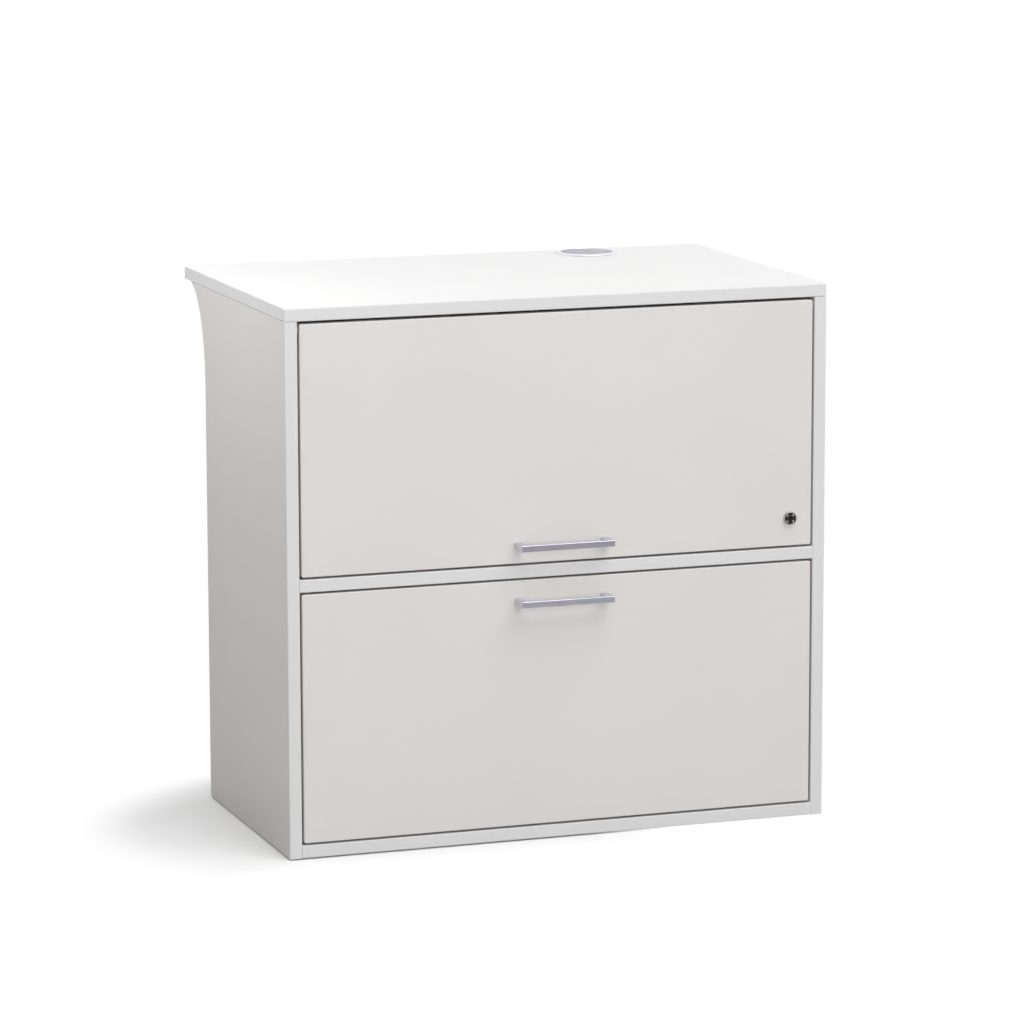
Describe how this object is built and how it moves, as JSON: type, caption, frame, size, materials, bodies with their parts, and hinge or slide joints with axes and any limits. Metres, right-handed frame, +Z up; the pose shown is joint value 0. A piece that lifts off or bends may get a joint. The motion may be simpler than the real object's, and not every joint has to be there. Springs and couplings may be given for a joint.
{
  "type": "office sideboard",
  "caption": "Low light-grey office cabinet with a lift-up flap over a wide hanging-file drawer, bow handles, cam lock and a worktop with a cable grommet in its rear overhang.",
  "frame": {"origin": "on the floor, at the middle of the width and of the depth from the handles to the worktop's rear edge", "axes": "+Z up, -Y out of the front, +X to the right seen from the front"},
  "size_m": [0.8, 0.542, 0.775],
  "materials": {
    "carcass_board": "melamine-faced chipboard, fine pearl texture, light grey",
    "top_board": "melamine-faced chipboard, fine pearl texture, white",
    "front_board": "melamine-faced chipboard, fine pearl texture, warm light grey",
    "edge_band": "plastic edge band, satin, cool light grey",
    "front_band": "plastic edge band, satin, warm light grey",
    "drawer_board": "melamine-faced chipboard, light grey",
    "grommet_metal": "satin silver",
    "handle_metal": "brushed silver grey",
    "lock_nickel": "bright nickel",
    "lock_dark": "dark satin",
    "plated_steel": "zinc plated",
    "runner_steel": "zinc plated sheet",
    "screw_steel": "zinc plated",
    "grey_plastic": "grained grey",
    "dowel_wood": "beech"
  },
  "bodies": {
    "carcass": {"side_panel_left": "carcass_board", "side_panel_right": "carcass_board", "base_panel": "carcass_board", "middle_shelf": "carcass_board", "worktop": "top_board", "back_panel": "carcass_board", "side_edge_left": "edge_band", "side_edge_right": "edge_band", "base_edge": "edge_band", "shelf_edge": "edge_band", "worktop_edge": "edge_band", "cable_grommet": "grommet_metal", "floor_glides": "grey_plastic", "carcass_dowels": "dowel_wood", "cam_housings": "plated_steel", "cam_bolts": "plated_steel", "pivot_bushes": "grey_plastic", "lift_unit_left": "grey_plastic", "lift_unit_right": "grey_plastic", "lift_unit_screws": "screw_steel", "flap_stops": "grey_plastic", "lock_strike": "plated_steel", "strike_screws": "screw_steel", "runner_outer_left": "runner_steel", "runner_outer_right": "runner_steel", "runner_outer_screws": "screw_steel"},
    "flap": {"flap_panel": "front_board", "flap_edge": "front_band", "flap_handle": "handle_metal", "flap_handle_screws": "screw_steel", "pivot_pins": "plated_steel", "flap_brackets": "plated_steel", "bracket_screws": "screw_steel", "lock_housing": "lock_nickel", "lock_nut": "lock_nickel"},
    "lock": {"lock_plug": "lock_dark", "lock_cam": "plated_steel", "cam_screw": "screw_steel"},
    "arm_left": {"lift_arm_left": "plated_steel"},
    "arm_right": {"lift_arm_right": "plated_steel"},
    "link_left": {"lift_link_left": "plated_steel"},
    "link_right": {"lift_link_right": "plated_steel"},
    "runner_middle": {"runner_middle_left": "runner_steel", "runner_middle_right": "runner_steel"},
    "drawer": {"drawer_front": "front_board", "drawer_front_edge": "front_band", "drawer_handle": "handle_metal", "drawer_handle_screws": "screw_steel", "drawer_side_left": "drawer_board", "drawer_side_right": "drawer_board", "drawer_inner_front": "drawer_board", "drawer_back": "drawer_board", "drawer_bottom": "drawer_board", "file_rails": "plated_steel", "drawer_dowels": "dowel_wood", "drawer_front_screws": "screw_steel", "runner_inner_left": "runner_steel", "runner_inner_right": "runner_steel", "runner_inner_screws": "screw_steel"}
  },
  "joints": [
    {"name": "flap_lift", "type": "hinge", "parent": "carcass", "child": "flap", "pos_m": [0, -0.23, 0.741], "axis": [-1, 0, 0], "range_deg": [0, 90]},
    {"name": "lock_turn", "type": "hinge", "parent": "flap", "child": "lock", "pos_m": [0.3455, -0.239, 0.4385], "axis": [0, 1, 0], "range_deg": [0, 90]},
    {"name": "drawer_slide", "type": "slide", "parent": "carcass", "child": "drawer", "axis": [0, -1, 0], "range_m": [0, 0.33]},
    {"name": "runner_extend", "type": "slide", "parent": "carcass", "child": "runner_middle", "axis": [0, -1, 0], "range_m": [0, 0.165]},
    {"name": "arm_turn_left", "type": "hinge", "parent": "carcass", "child": "arm_left", "pos_m": [-0.3575, -0.185, 0.696], "axis": [-1, 0, 0], "range_deg": [0, 90]},
    {"name": "link_turn_left", "type": "hinge", "parent": "arm_left", "child": "link_left", "pos_m": [-0.3553, -0.164, 0.586], "axis": [-1, 0, 0], "range_deg": [-90, 0]},
    {"name": "arm_turn_right", "type": "hinge", "parent": "carcass", "child": "arm_right", "pos_m": [0.3575, -0.185, 0.696], "axis": [-1, 0, 0], "range_deg": [0, 90]},
    {"name": "link_turn_right", "type": "hinge", "parent": "arm_right", "child": "link_right", "pos_m": [0.3553, -0.164, 0.586], "axis": [-1, 0, 0], "range_deg": [-90, 0]}
  ],
  "couplings": [
    {"joint": "runner_extend", "follows": "drawer_slide", "ratio": 0.5},
    {"joint": "arm_turn_left", "follows": "flap_lift", "ratio": 1},
    {"joint": "link_turn_left", "follows": "flap_lift", "ratio": -1},
    {"joint": "arm_turn_right", "follows": "flap_lift", "ratio": 1},
    {"joint": "link_turn_right", "follows": "flap_lift", "ratio": -1}
  ]
}
